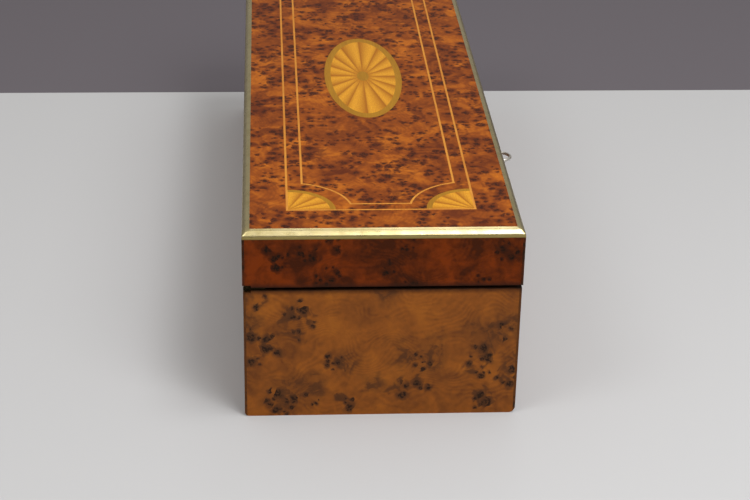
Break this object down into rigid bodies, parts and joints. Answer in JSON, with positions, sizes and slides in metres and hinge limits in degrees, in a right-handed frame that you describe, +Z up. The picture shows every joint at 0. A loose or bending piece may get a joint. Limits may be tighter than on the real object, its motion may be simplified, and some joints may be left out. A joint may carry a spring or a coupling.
{
  "type": "wooden puzzle box",
  "caption": "Long veneered wooden box with a hinged inlaid lid, brass edging, a key lock in the front wall and a hidden base that slides out.",
  "frame": {"origin": "middle of the underside of the box, where it rests on a table", "axes": "+X along the box, -Y to the lock side and +Y to the hinge side, +Z up"},
  "size_m": [0.3, 0.1152, 0.075],
  "materials": {
    "thuya_burl": "gloss",
    "core_wood": "matte",
    "lemonwood": "gloss",
    "stringing_wood": "gloss",
    "olive_wood": "gloss",
    "brass": "satin",
    "nickel_steel": "satin",
    "felt": "matte"
  },
  "bodies": {
    "box": {"front_wall": "core_wood", "back_wall": "core_wood", "left_wall": "core_wood", "right_wall": "core_wood", "front_veneer": "thuya_burl", "back_veneer": "thuya_burl", "left_veneer": "thuya_burl", "right_veneer": "thuya_burl", "floor_board": "core_wood", "floor_felt": "felt", "stop_dowel": "core_wood", "hinge_body_leaf": "brass", "hinge_pin": "brass", "hinge_body_screws": "brass", "lock_plate": "brass", "lock_cap": "brass", "lock_plate_screws": "brass", "selvedge_screws": "brass", "escutcheon": "brass", "escutcheon_pins": "brass"},
    "lid": {"lid_front_rail": "core_wood", "lid_right_rail": "core_wood", "lid_back_rail": "core_wood", "lid_left_rail": "core_wood", "lid_front_veneer": "thuya_burl", "lid_right_veneer": "thuya_burl", "lid_back_veneer": "thuya_burl", "lid_left_veneer": "thuya_burl", "brass_edging_front": "brass", "brass_edging_right": "brass", "brass_edging_back": "brass", "brass_edging_left": "brass", "lid_panel": "core_wood", "lid_felt": "felt", "lid_border_veneer": "thuya_burl", "lid_band_veneer": "thuya_burl", "lid_field_veneer": "thuya_burl", "outer_stringing": "stringing_wood", "inner_stringing": "stringing_wood", "fan_petals": "lemonwood", "fan_rims": "olive_wood", "medallion_rim": "olive_wood", "medallion_petals": "lemonwood", "medallion_eye": "olive_wood", "hinge_lid_leaf": "brass", "hinge_lid_screws": "brass", "link_plate": "brass", "link_plate_screws": "brass"},
    "base": {"sliding_base": "core_wood", "base_end_strip": "core_wood", "base_strip_veneer": "thuya_burl"},
    "key": {"key": "nickel_steel", "lock_rotor": "brass"},
    "bolt": {"lock_bolt": "brass"}
  },
  "joints": [
    {"name": "lid_hinge", "type": "hinge", "parent": "box", "child": "lid", "pos_m": [0, 0.04845, 0.0524], "axis": [-1, 0, 0], "range_deg": [0, 95]},
    {"name": "key_turn", "type": "hinge", "parent": "box", "child": "key", "pos_m": [0, 0, 0.0375], "axis": [0, 1, 0], "range_deg": [0, 90]},
    {"name": "bolt_slide", "type": "slide", "parent": "box", "child": "bolt", "axis": [1, 0, 0], "range_m": [0, 0.00453]},
    {"name": "base_slide", "type": "slide", "parent": "box", "child": "base", "axis": [1, 0, 0], "range_m": [0, 0.12]}
  ],
  "couplings": [
    {"joint": "key_turn", "follows": "bolt_slide", "rad_per_m": 347.1}
  ]
}
